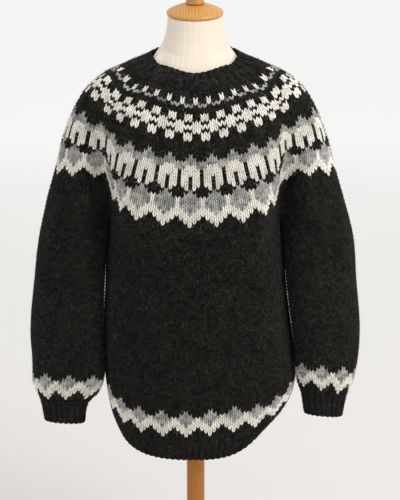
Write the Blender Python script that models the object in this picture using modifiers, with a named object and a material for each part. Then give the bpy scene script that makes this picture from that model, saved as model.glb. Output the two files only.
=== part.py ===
"""A hand-knitted round-yoke wool pullover, shown on a limbless dress form with a wooden stand.

Metres, +Z up. The origin is the middle of the stand's underside, and the pullover's front faces -Y.
The knitted cloth is one wall that runs through closed rings: a body tube with its ribbed hem, two
sleeve tubes with their ribbed cuffs, and a round yoke with its ribbed neckband. left and right are
the viewer's. A piece's tables and rows give up, the share of the way from its lower edge to its top.
"""
import bmesh
import bpy
import numpy as np
from math import pi, radians, tan
from mathutils import Matrix

# The knitted cloth
WALL = 0.004
SEAM_GAP = 0.0003
GRAFT_GAP = 0.0005
RIB_RISE = 0.0016
RIB_PROFILE = (0.0, 1.0, 1.0)
HEM_RIBS = 72
CUFF_RIBS = 20
NECK_RIBS = 45

# Columns of points across the front, over a sleeve, across the back and under an arm
FRONT_COLUMNS = 24
SLEEVE_COLUMNS = 20
BACK_COLUMNS = 24
UNDERARM_COLUMNS = 6
BODY_COUNT = FRONT_COLUMNS + BACK_COLUMNS + 2 * UNDERARM_COLUMNS
SLEEVE_COUNT = SLEEVE_COLUMNS + UNDERARM_COLUMNS

# Rows of points up each piece
YOKE_ROWS = (0.0, 0.11, 0.22, 0.33, 0.43, 0.53, 0.63, 0.73, 0.86)
NECK_ROWS = (0.86, 0.94, 1.0)
BODY_ROWS = (0.10, 0.15, 0.22, 0.34, 0.48, 0.64, 0.80, 0.93, 1.0)
HEM_ROWS = (0.0, 0.05, 0.10)
SLEEVE_ROWS = (0.10, 0.15, 0.22, 0.34, 0.48, 0.64, 0.79, 0.91, 1.0)
CUFF_ROWS = (0.0, 0.05, 0.10)

# The yoke, from the row that joins body and sleeves up to the neck edge. fold_x and fold_depth
# place the deep fold beside each sleeve, and sleeve_depth is how much of the oval's depth is kept
# beyond the fold.
YOKE_NAMES = (
    "up", "half_width", "front", "back",
    "z_front", "z_fold", "z_side", "z_rear_fold", "z_back", "fold_x", "fold_depth", "sleeve_depth",
)
YOKE = (
    (0.00, 0.264, 0.142, 0.122, 0.889, 0.912, 0.952, 0.912, 0.915, 0.152, 0.074, 0.86),
    (0.17, 0.248, 0.145, 0.127, 0.938, 0.962, 1.003, 0.963, 0.967, 0.156, 0.064, 0.88),
    (0.34, 0.233, 0.145, 0.129, 0.986, 1.013, 1.056, 1.015, 1.018, 0.163, 0.040, 0.93),
    (0.47, 0.215, 0.142, 0.127, 1.023, 1.052, 1.096, 1.056, 1.057, 0.160, 0.017, 0.98),
    (0.60, 0.193, 0.135, 0.121, 1.060, 1.090, 1.132, 1.097, 1.096, 0.146, 0.004, 1.00),
    (0.73, 0.162, 0.125, 0.108, 1.097, 1.124, 1.158, 1.134, 1.135, 0.120, 0.000, 1.00),
    (0.86, 0.122, 0.111, 0.087, 1.135, 1.153, 1.176, 1.170, 1.177, 0.088, 0.000, 1.00),
    (1.00, 0.078, 0.087, 0.054, 1.165, 1.177, 1.193, 1.202, 1.207, 0.056, 0.000, 1.00),
)
YOKE_ROUNDNESS = 2.2
FOLD_WIDTH = 0.017
FOLD_TO_SLEEVE = 0.035
SIDE_RISE_SHARE = 0.27

# The body, from the hem's edge up to the join with the yoke, which lies above the last row. The
# hem's right front corner is drawn up by corner_lift.
BODY_NAMES = ("up", "left", "right", "front", "back", "z_front", "z_left", "z_right", "z_back", "corner_lift")
BODY = (
    (0.00, 0.147, 0.151, 0.134, 0.110, 0.475, 0.504, 0.532, 0.502, 0.026),
    (0.10, 0.162, 0.180, 0.146, 0.123, 0.514, 0.546, 0.566, 0.543, 0.018),
    (0.22, 0.170, 0.190, 0.152, 0.131, 0.566, 0.597, 0.606, 0.595, 0.007),
    (0.40, 0.172, 0.182, 0.152, 0.129, 0.645, 0.671, 0.674, 0.669, 0.000),
    (0.60, 0.168, 0.170, 0.148, 0.123, 0.730, 0.754, 0.755, 0.751, 0.000),
    (0.82, 0.160, 0.160, 0.143, 0.120, 0.822, 0.845, 0.845, 0.840, 0.000),
)
HEM_CORNER = (0.138, -0.085)
HEM_CORNER_REACH = 0.045
BODY_ROUNDNESS = 2.35

# The sleeves, from the cuff's edge up to the join. forward raises a ring's front edge and roll
# raises its right-hand edge, both in degrees. swing carries the edge beside the body forward, as a
# share of its distance from the sleeve's middle, so that the sleeve wraps the body's side.
SLEEVE_NAMES = ("up", "x", "y", "z", "half_width", "half_depth", "forward", "roll", "swing")
LEFT_SLEEVE = (
    (0.00, -0.2488, -0.035, 0.507, 0.0380, 0.0250, 12.0, 0.0, 0.15),
    (0.10, -0.2482, -0.034, 0.548, 0.0460, 0.0310, 12.0, 0.0, 0.20),
    (0.16, -0.2450, -0.032, 0.574, 0.0640, 0.0420, 11.0, 0.0, 0.35),
    (0.25, -0.2395, -0.030, 0.612, 0.0715, 0.0480, 10.0, 0.0, 0.45),
    (0.42, -0.2405, -0.024, 0.682, 0.0720, 0.0520, 8.0, 0.0, 0.45),
    (0.64, -0.2332, -0.016, 0.780, 0.0675, 0.0590, 5.0, 0.0, 0.42),
    (0.85, -0.2235, -0.009, 0.868, 0.0630, 0.0680, 2.0, 0.0, 0.32),
)
RIGHT_SLEEVE = (
    (0.00, 0.2424, -0.035, 0.521, 0.0360, 0.0250, 12.0, -8.0, 0.15),
    (0.10, 0.2422, -0.034, 0.560, 0.0432, 0.0300, 12.0, -9.0, 0.20),
    (0.17, 0.2443, -0.032, 0.588, 0.0547, 0.0410, 11.0, -8.0, 0.35),
    (0.26, 0.2460, -0.029, 0.624, 0.0615, 0.0470, 10.0, -6.0, 0.45),
    (0.40, 0.2447, -0.024, 0.682, 0.0653, 0.0520, 8.0, -3.0, 0.45),
    (0.62, 0.2335, -0.016, 0.776, 0.0663, 0.0590, 5.0, 0.0, 0.42),
    (0.84, 0.2250, -0.009, 0.868, 0.0645, 0.0680, 2.0, 0.0, 0.32),
)
SLEEVE_ROUNDNESS = 2.2

# How the cloth leads into the join: a step of up past it, and the length of that step
LEAD = 0.10
LEAD_LENGTH = 0.042

# The dress form: jersey-covered, without limbs. Its shoulders take their shape from the inside of
# the yoke that rests on them, and its torso and neck have their own sections.
SHOULDER_NAMES = ("up", "clearance")
SHOULDERS = ((0.73, 0.0011), (0.86, 0.0009), (0.94, 0.0018), (1.00, 0.0050))
TORSO_NAMES = ("half_width", "front", "back", "z_front", "z_side", "z_back")
TORSO = (
    (0.118, 0.088, 0.084, 0.604, 0.604, 0.604),
    (0.140, 0.108, 0.102, 0.612, 0.612, 0.612),
    (0.147, 0.117, 0.109, 0.680, 0.680, 0.680),
    (0.134, 0.108, 0.098, 0.760, 0.760, 0.760),
    (0.119, 0.099, 0.087, 0.830, 0.830, 0.830),
    (0.127, 0.112, 0.094, 0.895, 0.895, 0.895),
    (0.137, 0.127, 0.103, 0.955, 0.960, 0.955),
    (0.150, 0.131, 0.111, 1.000, 1.022, 1.015),
    (0.164, 0.1305, 0.113, 1.036, 1.072, 1.064),
    (0.172, 0.1280, 0.1115, 1.062, 1.118, 1.100),
)
TORSO_ROUNDNESS = 2.15
NECK_NAMES = ("half_width", "front", "back", "z_middle", "tilt")
NECK = (
    (0.0570, 0.0660, 0.0435, 1.2090, 17.0),
    (0.0515, 0.0590, 0.0430, 1.2260, 15.0),
    (0.0485, 0.0555, 0.0430, 1.2420, 14.0),
    (0.0475, 0.0540, 0.0430, 1.2590, 13.0),
)

# The turned wooden neck cap and its knob, as radius and height above the neck's top plane
CAP_CENTRE_Y = -0.0055
CAP_PROFILE = (
    (0.0000, 0.0180), (0.0175, 0.0180), (0.0230, 0.0168), (0.0320, 0.0138), (0.0410, 0.0100),
    (0.0480, 0.0065), (0.0495, 0.0040), (0.0492, 0.0015), (0.0475, 0.0000), (0.0000, 0.0000),
)
KNOB_PROFILE = (
    (0.0000, 0.0370), (0.0120, 0.0355), (0.0190, 0.0305), (0.0205, 0.0235), (0.0175, 0.0160),
    (0.0130, 0.0100), (0.0150, 0.0065), (0.0165, 0.0030), (0.0145, 0.0000), (0.0000, 0.0000),
)
CAP_HEIGHT = CAP_PROFILE[0][1]
TOUCH_GAP = 0.0003
CAP_STEPS = 24

# The stand. The pole stands in the base's socket and carries the form by the socket inside it.
POLE_RADIUS = 0.0175
POLE_STEPS = 24
FORM_SOCKET_DEPTH = 0.090
BASE_SOCKET_FLOOR = 0.012
SOCKET_RADIUS = POLE_RADIUS + TOUCH_GAP
BASE_PROFILE = (
    (0.0000, BASE_SOCKET_FLOOR), (SOCKET_RADIUS, BASE_SOCKET_FLOOR), (SOCKET_RADIUS, 0.0620),
    (0.0330, 0.0620), (0.0380, 0.0550), (0.0440, 0.0410), (0.0560, 0.0340), (0.1200, 0.0290),
    (0.1710, 0.0225), (0.1780, 0.0150), (0.1780, 0.0040), (0.1740, 0.0000), (0.0000, 0.0000),
)
BASE_STEPS = 40

# Each finish has a name, a colour in linear light and a roughness
CHARCOAL_WOOL = ("charcoal_wool", (0.022, 0.020, 0.018), 0.95)
CREAM_JERSEY = ("cream_jersey", (0.80, 0.76, 0.69), 0.90)
HONEY_WOOD = ("honey_wood", (0.55, 0.27, 0.09), 0.45)
SHARP_FROM = radians(40)


def smooth(knots, values, where):
    """Reads a smooth curve through values, given at knots, at one place."""
    knots, values = np.asarray(knots, float), np.asarray(values, float)
    widths = np.diff(knots).reshape((-1,) + (1,) * (values.ndim - 1))
    rises = np.diff(values, axis=0) / widths
    tangents = np.concatenate([rises[:1], (rises[1:] + rises[:-1]) / 2, rises[-1:]])
    i = int(np.clip(np.searchsorted(knots, where, side="right") - 1, 0, len(knots) - 2))
    t = (where - knots[i]) / (knots[i + 1] - knots[i])
    return (
        (2 * t**3 - 3 * t**2 + 1) * values[i]
        + (t**3 - 2 * t**2 + t) * widths[i] * tangents[i]
        + (3 * t**2 - 2 * t**3) * values[i + 1]
        + (t**3 - t**2) * widths[i] * tangents[i + 1]
    )


def ease(t):
    """Rises from 0 to 1 and is level at both ends."""
    t = np.clip(t, 0.0, 1.0)
    return t * t * (3 - 2 * t)


def lengths_along(line):
    """The share of a line's length in plan at each of its points."""
    steps = np.linalg.norm(np.diff(line[:, :2], axis=0), axis=1)
    lengths = np.concatenate([[0.0], np.cumsum(steps)])
    return lengths / lengths[-1]


def along(line, where):
    """The points at these shares of a line's length."""
    lengths = lengths_along(line)
    return np.stack([np.interp(where, lengths, line[:, k]) for k in range(3)], axis=1)


def oval(turn, right, left, front, back, roundness):
    """Plan points of a rounded oval. A turn of 0 is the front middle, and pi / 2 the right side."""
    s, c = np.sin(turn), np.cos(turn)
    x = np.sign(s) * np.abs(s) ** (2 / roundness) * np.where(s > 0, right, left)
    y = -np.sign(c) * np.abs(c) ** (2 / roundness) * np.where(c > 0, front, back)
    return x, y


def oval_ring(left, right, front, back, z_front, z_left, z_right, z_back, roundness):
    """A fine closed ring from the front middle round by the right."""
    x, y = oval(np.linspace(0, 2 * pi, 1441), right, left, front, back, roundness)
    towards_end = ease(np.where(y < 0, -y / front, y / back))
    z_side = np.where(x < 0, z_left, z_right)
    z = z_side + (np.where(y < 0, z_front, z_back) - z_side) * towards_end
    return np.stack([x, y, z], axis=1)


def even_shares(count):
    return np.linspace(0, 1, count + 1)


def closer_at_ends(count):
    """Shares from 0 to 1, closer together at both ends, where the folds are."""
    return 0.5 * even_shares(count) + 0.25 * (1 - np.cos(pi * even_shares(count)))


def yoke_value(name, up):
    k = YOKE_NAMES.index(name)
    return float(smooth([row[0] for row in YOKE], [row[k] for row in YOKE], up))


def yoke_ring(up, spacing=closer_at_ends):
    """A whole ring: right front fold, over the sleeve, back, over the left sleeve, front."""
    width, fold_x = yoke_value("half_width", up), yoke_value("fold_x", up)
    front, back = yoke_value("front", up), yoke_value("back", up)
    depth = yoke_value("fold_depth", up)
    z_front, z_back, z_side = yoke_value("z_front", up), yoke_value("z_back", up), yoke_value("z_side", up)
    z_fold, z_rear = yoke_value("z_fold", up), yoke_value("z_rear_fold", up)
    fold_turn = np.arcsin((fold_x / width) ** (YOKE_ROUNDNESS / 2))
    stretches = (
        (fold_turn, pi - fold_turn, SLEEVE_COLUMNS, z_fold, z_side, z_rear, SIDE_RISE_SHARE),
        (pi - fold_turn, pi + fold_turn, BACK_COLUMNS, z_rear, z_back, z_rear, 0.5),
        (pi + fold_turn, 2 * pi - fold_turn, SLEEVE_COLUMNS, z_rear, z_side, z_fold, SIDE_RISE_SHARE),
        (2 * pi - fold_turn, 2 * pi + fold_turn, FRONT_COLUMNS, z_fold, z_front, z_fold, 0.5),
    )
    lines = []
    for start, end, columns, z_start, z_middle, z_end, rise_share in stretches:
        x, y = oval(np.linspace(start, end, 481), width, width, front, back, YOKE_ROUNDNESS)
        beyond_fold = np.abs(x) - fold_x
        y = y * (1 - (1 - yoke_value("sleeve_depth", up)) * ease(beyond_fold / FOLD_TO_SLEEVE))
        y = y - np.sign(y) * depth * np.exp(-((beyond_fold / FOLD_WIDTH) ** 2) / 2)
        where = spacing(columns)[:-1]
        line = along(np.stack([x, y, np.zeros_like(x)], axis=1), where)
        rise, fall = ease(where / rise_share), ease((1 - where) / rise_share)
        line[:, 2] = z_start + (z_middle - z_start) * rise + (z_end - z_middle) * (1 - fall)
        lines.append(line)
    return np.concatenate(lines)


def evenly(ring, columns):
    """A closed ring in even steps of its own length."""
    return along(np.concatenate([ring, ring[:1]]), np.arange(columns) / columns)


def directions_out(ring, upward):
    """Directions out of the cloth round a ring, where the cloth runs on in the direction upward."""
    out = np.cross(np.roll(ring, -1, axis=0) - np.roll(ring, 1, axis=0), upward)
    return out / np.linalg.norm(out, axis=1, keepdims=True)


def ring_and_directions(ring_at, up, highest, reach=0.01):
    """A ring of a piece with its directions out of and up the cloth."""
    upward = ring_at(min(highest, up + reach)) - ring_at(max(0.0, up - reach))
    upward /= np.linalg.norm(upward, axis=1, keepdims=True)
    ring = ring_at(up)
    return ring, directions_out(ring, upward), upward


# The ring where body and sleeves join the yoke, its directions, and where its folds are. At a fold
# three pieces meet, so all three are cut straight across there.
JOIN, JOIN_OUT, JOIN_UP = ring_and_directions(yoke_ring, 0.0, 1.0)
RIGHT_FRONT = 0
RIGHT_BACK = SLEEVE_COLUMNS
LEFT_BACK = RIGHT_BACK + BACK_COLUMNS
LEFT_FRONT = LEFT_BACK + SLEEVE_COLUMNS
FOLDS = [RIGHT_FRONT, RIGHT_BACK, LEFT_BACK, LEFT_FRONT]
JOIN_OUT[FOLDS, 0] = 0.0
JOIN_OUT[FOLDS] /= np.linalg.norm(JOIN_OUT[FOLDS], axis=1, keepdims=True)


def join_stretch(start, end):
    """The join's points from fold to fold, just below the yoke, with directions out and up."""
    picked = np.arange(start, end + 1)
    return JOIN[picked] - SEAM_GAP * JOIN_UP[picked], JOIN_OUT[picked], JOIN_UP[picked]


def graft(start, end, towards):
    """The grafted row under an arm between two folds, without its ends. The cloth turns over there:
    its outer face looks down, and it runs on in the direction towards, +1 or -1 along X."""
    share = even_shares(UNDERARM_COLUMNS)[1:-1, None]
    line = JOIN[start] * (1 - share) + JOIN[end] * share
    over = np.sin(pi * share)
    out = (JOIN_OUT[start] * (1 - share) + JOIN_OUT[end] * share) * (1 - over)
    out = out + np.array([0.0, 0.0, -1.0]) * over
    out /= np.linalg.norm(out, axis=1, keepdims=True)
    return line, out, np.tile([[float(towards), 0.0, 0.0]], (len(line), 1))


def body_join():
    """The body's top ring, from the right front fold under the right arm, with directions out and up."""
    stretches = (
        join_stretch(RIGHT_FRONT, RIGHT_FRONT),
        graft(RIGHT_FRONT, RIGHT_BACK, 1),
        join_stretch(RIGHT_BACK, LEFT_BACK),
        graft(LEFT_BACK, LEFT_FRONT, -1),
        join_stretch(LEFT_FRONT, len(JOIN) - 1),
    )
    points, out, up = (np.concatenate(kind) for kind in zip(*stretches))
    narrowed = 1 - GRAFT_GAP / 2 / yoke_value("fold_x", 0.0)
    return points * np.array([narrowed, 1.0, 1.0]), out, up


def sleeve_join(side):
    """A sleeve's top ring, from one fold over the arm to the other and back under it."""
    start, end = (RIGHT_FRONT, RIGHT_BACK) if side > 0 else (LEFT_BACK, LEFT_FRONT)
    points, out, up = (np.concatenate(kind) for kind in zip(join_stretch(start, end), graft(end, start, -side)))
    return points + np.array([side * GRAFT_GAP / 2, 0.0, 0.0]), out, up


def body_section(row):
    """A ring of the body's table, from below the right front fold."""
    ring = oval_ring(*row[1:-1], BODY_ROUNDNESS)
    from_corner = np.linalg.norm(ring[:, :2] - HEM_CORNER, axis=1)
    ring[:, 2] += row[-1] * np.exp(-((from_corner / HEM_CORNER_REACH) ** 2) / 2)
    fold = FRONT_COLUMNS / 2 / BODY_COUNT
    return along(ring, (np.arange(BODY_COUNT) / BODY_COUNT + fold) % 1.0)


def sleeve_section(row, side):
    """A ring of a sleeve's table, from below its first fold."""
    _, x, y, z, half_width, half_depth, forward, roll, swing = row
    ring = oval_ring(half_width, half_width, half_depth, half_depth, 0.0, 0.0, 0.0, 0.0, SLEEVE_ROUNDNESS)
    inner_side = 0.75 if side > 0 else 0.25
    fold = inner_side + UNDERARM_COLUMNS / 2 / SLEEVE_COUNT
    ring = along(ring, (np.arange(SLEEVE_COUNT) / SLEEVE_COUNT + fold) % 1.0)
    ring[:, 2] = ring[:, 0] * tan(radians(roll)) - ring[:, 1] * tan(radians(forward))
    ring[:, 1] += side * swing * ring[:, 0]
    return ring + np.array([x, y, z])


def tube(rows, sections, join=None):
    """A piece's rings as a function of up, through its sections and on through its join."""
    knots, rings = [row[0] for row in rows], list(sections)
    if join is not None:
        knots += [1.0, 1.0 + LEAD]
        rings += [join[0], join[0] + join[2] * LEAD_LENGTH]
    return lambda up: smooth(knots, rings, up)


def wall(ring_at, rows, join_out=None, inner_rows=None, raised=False, seated=False, highest=1.0):
    """The rings of a closed wall, up its outside and down its inside. A raised wall has ribs on its
    outside over a plain inside, and a seated one starts a seam's gap above the piece below.
    join_out are the directions to use at the join, which is a seated wall's top or the yoke's foot."""
    outer, inner = [], []
    join_row = rows[-1] if seated else rows[0]
    for up in rows:
        ring, out, upward = ring_and_directions(ring_at, up, highest)
        if seated and up == rows[0]:
            ring = ring + SEAM_GAP * upward
        if join_out is not None and up == join_row:
            out = join_out
        if up in (inner_rows or rows):
            inner.append(ring - WALL * out)
        if raised:
            rise = np.tile(RIB_PROFILE, len(ring) // len(RIB_PROFILE))
            ring = ring + RIB_RISE * rise[:, None] * out
        outer.append(ring)
    return outer + inner[::-1]


def material(name, finish):
    finish_name, colour, roughness = finish
    made = bpy.data.materials.new(f"{name}_{finish_name}")
    made.use_nodes = True
    shader = made.node_tree.nodes["Principled BSDF"]
    shader.inputs["Base Color"].default_value = (*colour, 1.0)
    shader.inputs["Roughness"].default_value = roughness
    return made


def finished(name, bm, finish, collection):
    """Makes the named object from a bmesh, with its own material."""
    mesh = bpy.data.meshes.new(name)
    bm.to_mesh(mesh)
    bm.free()
    mesh.shade_smooth()
    mesh.set_sharp_from_angle(angle=SHARP_FROM)
    mesh.materials.append(material(name, finish))
    obj = bpy.data.objects.new(name, mesh)
    collection.objects.link(obj)
    return obj


def strip(bm, lower, upper, turned_over=False):
    """Triangles between two rings. Turned over, their long sides run the other way across."""
    for i in range(len(lower)):
        a, b, c, d = lower[i - 1], lower[i], upper[i], upper[i - 1]
        for corners in ((a, b, d), (b, c, d)) if turned_over else ((a, b, c), (a, c, d)):
            bm.faces.new(corners)


def loft(name, rings, closed, finish, collection):
    """A solid through rings of equal counts. A closed one runs round on itself, another is capped.
    The strip that closes a wall's lower edge is turned over to lie flat on the piece below, and so
    are a capped solid's, to lie flat on the inside of the wall round it."""
    bm = bmesh.new()
    verts = [[bm.verts.new(point) for point in ring] for ring in rings]
    for lower, upper in zip(verts, verts[1:]):
        strip(bm, lower, upper, turned_over=not closed)
    if closed:
        strip(bm, verts[-1], verts[0], turned_over=True)
    else:
        bm.faces.new(verts[0][::-1])
        bm.faces.new(verts[-1])
    return finished(name, bm, finish, collection)


def turned(name, profile, steps, finish, collection):
    """A solid of revolution from a profile of radius and height that runs down its outer side."""
    bm = bmesh.new()
    points = [bm.verts.new((radius, 0.0, height)) for radius, height in profile]
    for start, end in zip(points, points[1:]):
        bm.edges.new((start, end))
    obj = finished(name, bm, finish, collection)
    screw = obj.modifiers.new("turned", "SCREW")
    screw.steps = screw.render_steps = steps
    screw.use_merge_vertices = True
    screw.merge_threshold = 0.00001
    return obj


def make_yoke(collection):
    loft("yoke", wall(yoke_ring, YOKE_ROWS, JOIN_OUT), True, CHARCOAL_WOOL, collection)
    columns = NECK_RIBS * len(RIB_PROFILE)
    def neck_at(up):
        return evenly(yoke_ring(up, lambda count: even_shares(20 * count)), columns)
    loft("neckband", wall(neck_at, NECK_ROWS, raised=True, seated=True), True, CHARCOAL_WOOL, collection)


def make_body(collection):
    join = body_join()
    sections = [body_section(row) for row in BODY]
    body_at = tube(BODY, sections, join)
    rings = wall(body_at, BODY_ROWS, join[1], seated=True, highest=1.0 + LEAD)
    loft("body", rings, True, CHARCOAL_WOOL, collection)
    columns = HEM_RIBS * len(RIB_PROFILE)
    hem_at = tube(BODY, [evenly(section, columns) for section in sections])
    loft("hem_rib", wall(hem_at, HEM_ROWS, inner_rows=HEM_ROWS[::2], raised=True), True, CHARCOAL_WOOL, collection)


def make_sleeve(name, rows, side, collection):
    join = sleeve_join(side)
    sections = [sleeve_section(row, side) for row in rows]
    sleeve_at = tube(rows, sections, join)
    rings = wall(sleeve_at, SLEEVE_ROWS, join[1], seated=True, highest=1.0 + LEAD)
    loft(f"sleeve_{name}", rings, True, CHARCOAL_WOOL, collection)
    columns = CUFF_RIBS * len(RIB_PROFILE)
    cuff_at = tube(rows, [evenly(section, columns) for section in sections])
    loft(f"cuff_{name}", wall(cuff_at, CUFF_ROWS, inner_rows=CUFF_ROWS[::2], raised=True), True, CHARCOAL_WOOL, collection)


def form_ring(half_width, front, back, z_front, z_side, z_back, where):
    ring = oval_ring(half_width, half_width, front, back, z_front, z_side, z_side, z_back, TORSO_ROUNDNESS)
    return along(ring, where)


def make_form(collection):
    """The torso's solid: down the pole's socket, out under the torso and up to the neck's top."""
    shoulders = []
    for up, clearance in SHOULDERS:
        ring, out, _ = ring_and_directions(yoke_ring, up, 1.0)
        shoulders.append((ring - (WALL + clearance) * out)[::2])
    lowest = np.concatenate([shoulders[0], shoulders[0][:1]])
    where = lengths_along(lowest)
    front_middle = (where[-1] + where[-1 - FRONT_COLUMNS // 2]) / 2
    where = (where[:-1] - front_middle) % 1.0
    torso = [form_ring(*row, where) for row in TORSO]
    necks = []
    for half_width, front, back, z_middle, tilt in NECK:
        ring = form_ring(half_width, front, back, 0.0, 0.0, 0.0, where)
        ring[:, 2] = z_middle + ring[:, 1] * tan(radians(tilt))
        necks.append(ring)
    foot = TORSO[0][3]
    socket = [
        form_ring(*[SOCKET_RADIUS] * 3, z, z, z, where) for z in (foot + FORM_SOCKET_DEPTH, foot)
    ]
    loft("form_torso", socket + torso + shoulders + necks, False, CREAM_JERSEY, collection)


def make_cap(collection):
    """The cap and knob on the neck's sloping top."""
    tilt = radians(NECK[-1][4])
    seat = NECK[-1][3] + CAP_CENTRE_Y * tan(tilt)
    place = Matrix.Translation((0.0, CAP_CENTRE_Y, seat)) @ Matrix.Rotation(tilt, 4, "X")
    cap = turned("neck_cap", CAP_PROFILE, CAP_STEPS, HONEY_WOOD, collection)
    cap.matrix_world = place @ Matrix.Translation((0.0, 0.0, TOUCH_GAP))
    knob = turned("cap_knob", KNOB_PROFILE, CAP_STEPS, HONEY_WOOD, collection)
    knob.matrix_world = place @ Matrix.Translation((0.0, 0.0, CAP_HEIGHT + 2 * TOUCH_GAP))


def make_stand(collection):
    turned("base", BASE_PROFILE, BASE_STEPS, HONEY_WOOD, collection)
    bottom = BASE_SOCKET_FLOOR + TOUCH_GAP
    top = TORSO[0][3] + FORM_SOCKET_DEPTH - TOUCH_GAP
    bm = bmesh.new()
    bmesh.ops.create_cone(
        bm, cap_ends=True, segments=POLE_STEPS, radius1=POLE_RADIUS, radius2=POLE_RADIUS,
        depth=top - bottom, matrix=Matrix.Translation((0.0, 0.0, (top + bottom) / 2)),
    )
    finished("pole", bm, HONEY_WOOD, collection)


def main():
    for obj in list(bpy.data.objects):
        bpy.data.objects.remove(obj)
    pullover = bpy.data.collections.new("pullover_on_form")
    bpy.context.scene.collection.children.link(pullover)
    make_yoke(pullover)
    make_body(pullover)
    make_sleeve("left", LEFT_SLEEVE, -1, pullover)
    make_sleeve("right", RIGHT_SLEEVE, 1, pullover)
    make_form(pullover)
    make_cap(pullover)
    make_stand(pullover)


main()
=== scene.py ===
# %% [markdown]
# # A round-yoke wool pullover, stitch by stitch
#
# The real pullover is knitted in the round from thick, lightly spun wool: a body tube, two sleeve
# tubes, and a yoke in which all three meet on one needle and narrow to the neck. It hangs on a
# jersey-covered form with a turned wooden cap and a pole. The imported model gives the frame: its
# nodes say where each piece lies, and every knitted piece here is a finer form of one of them.
# Metres, +Z up, and the pullover's front faces -Y. left and right are the viewer's.

# %% Load the frame
import bmesh
import bpy
import numpy as np
from math import pi, radians, tan
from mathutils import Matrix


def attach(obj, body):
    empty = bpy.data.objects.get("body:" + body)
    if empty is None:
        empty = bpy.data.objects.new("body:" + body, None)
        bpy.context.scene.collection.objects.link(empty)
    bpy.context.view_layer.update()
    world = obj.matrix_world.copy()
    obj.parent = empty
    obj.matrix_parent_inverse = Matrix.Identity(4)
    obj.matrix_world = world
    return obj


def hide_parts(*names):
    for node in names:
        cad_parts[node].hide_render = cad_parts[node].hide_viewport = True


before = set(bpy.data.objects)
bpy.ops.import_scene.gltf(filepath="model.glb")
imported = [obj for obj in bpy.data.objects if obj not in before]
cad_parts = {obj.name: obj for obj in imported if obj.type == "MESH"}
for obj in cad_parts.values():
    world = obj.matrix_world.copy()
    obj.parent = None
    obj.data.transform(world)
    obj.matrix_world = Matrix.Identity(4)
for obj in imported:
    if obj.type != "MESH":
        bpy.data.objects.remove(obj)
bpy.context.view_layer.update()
print(f"loaded {len(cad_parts)} nodes")

# %% [markdown]
# ## Camera, floor and light
#
# The photo looks down on the pullover a little, from 1.7 m away, in soft daylight that comes from
# the right. A lens is easiest to state as the number of pixels that one radian takes up, because
# that can be measured on the photo, so it is turned into millimetres here. The room is left out:
# a pale floor that runs far back makes the same near-white ground.

# %% Set the camera
IMAGE_HEIGHT = 500
PIXELS_PER_RADIAN = 951
LOOKS_DOWN = 15


def linked(name, data):
    """A new object, in the scene."""
    made = bpy.data.objects.new(name, data)
    bpy.context.scene.collection.objects.link(made)
    return made


camera_data = bpy.data.cameras.new("camera")
camera_data.lens = camera_data.sensor_width * PIXELS_PER_RADIAN / IMAGE_HEIGHT
camera = linked("camera", camera_data)
camera.location = (0.0085, -1.70, 1.29)
camera.rotation_euler = (radians(90 - LOOKS_DOWN), 0.0, 0.0)
bpy.context.scene.camera = camera
bpy.context.scene.view_settings.view_transform = "Standard"
print(f"lens {camera_data.lens:.1f} mm")

# %% Light it softly, more from the right
def area_light(name, place, towards, size, power, colour):
    data = bpy.data.lights.new(name, "AREA")
    data.shape = "DISK"
    data.size = size
    data.energy = power
    data.color = colour
    light = linked(name, data)
    away = np.array(place) - np.array(towards)
    turn_up = np.arctan2(np.hypot(away[0], away[1]), away[2])
    light.location = place
    light.rotation_euler = (turn_up, 0.0, np.arctan2(away[1], away[0]) + pi / 2)


CHEST = (0.0, 0.0, 0.9)
area_light("window", (2.0, -1.5, 2.6), CHEST, 1.2, 48.0, (1.0, 0.985, 0.96))
area_light("fill", (-2.2, -1.8, 1.6), CHEST, 2.2, 6.0, (0.95, 0.97, 1.0))
world = bpy.data.worlds.new("daylight")
world.use_nodes = True
daylight = world.node_tree.nodes["Background"].inputs
daylight["Color"].default_value = (1.0, 0.995, 0.985, 1.0)
daylight["Strength"].default_value = 0.97
bpy.context.scene.world = world
print("lit by window, fill and daylight")

# %% [markdown]
# ## Shader maths as plain expressions
#
# A finish is a sum of small patterns. Wrapping a socket in a class that knows + - * / lets each
# one be written as the formula it is. Colours go through Mix nodes, and vectors through Mapping and
# Separate XYZ nodes.

# %% Sockets that can be added and multiplied
class Term:
    """A socket of a material, to be used in expressions."""

    def __init__(self, shader, socket):
        self.shader, self.socket = shader, socket

    def maths(self, operation, *others):
        return self.shader.node("ShaderNodeMath", {"operation": operation}, [self, *others])

    def __add__(self, other): return self.maths("ADD", other)
    def __radd__(self, other): return self.maths("ADD", other)
    def __sub__(self, other): return self.maths("SUBTRACT", other)
    def __rsub__(self, other): return self.shader.term(other).maths("SUBTRACT", self)
    def __mul__(self, other): return self.maths("MULTIPLY", other)
    def __truediv__(self, other): return self.maths("DIVIDE", other)
    def power(self, other): return self.maths("POWER", other)
    def sine(self): return self.maths("SINE")
    def size(self): return self.maths("ABSOLUTE")
    def kept_to_one(self): return self.maths("MINIMUM", 1.0).maths("MAXIMUM", 0.0)


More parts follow.
